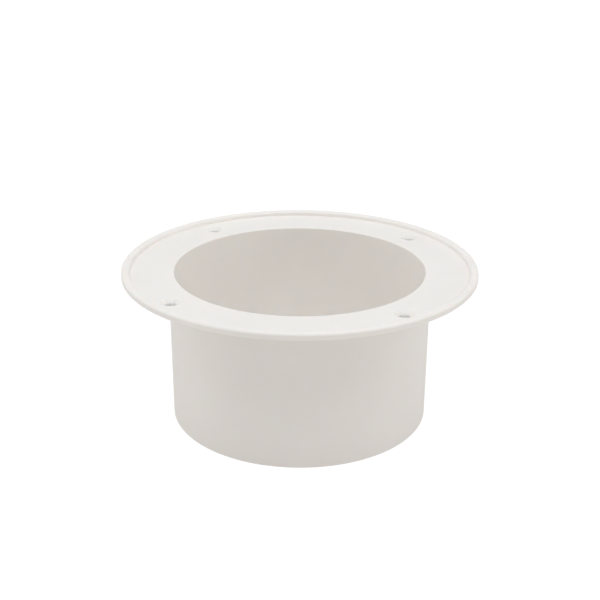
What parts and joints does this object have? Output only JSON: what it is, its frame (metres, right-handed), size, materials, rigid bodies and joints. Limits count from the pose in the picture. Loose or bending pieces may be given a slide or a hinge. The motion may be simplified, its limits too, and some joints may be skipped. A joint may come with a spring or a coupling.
{
  "type": "flanged duct collar",
  "caption": "Round moulded duct collar with a flat screw-down flange, a raised lip round the flange's edge, and a foam gasket bonded under it.",
  "frame": {"origin": "centre of the collar's free end, which it stands on", "axes": "+Z along the bore axis, from the collar's free end to the flange; the screw holes lie on the diagonals between X and Y"},
  "size_m": [0.135, 0.135, 0.0605],
  "materials": {
    "moulded_plastic": "satin moulded",
    "gasket_foam": "matt white closed-cell foam"
  },
  "bodies": {
    "root": {"flanged_collar": "moulded_plastic", "flange_gasket": "gasket_foam"}
  },
  "joints": []
}
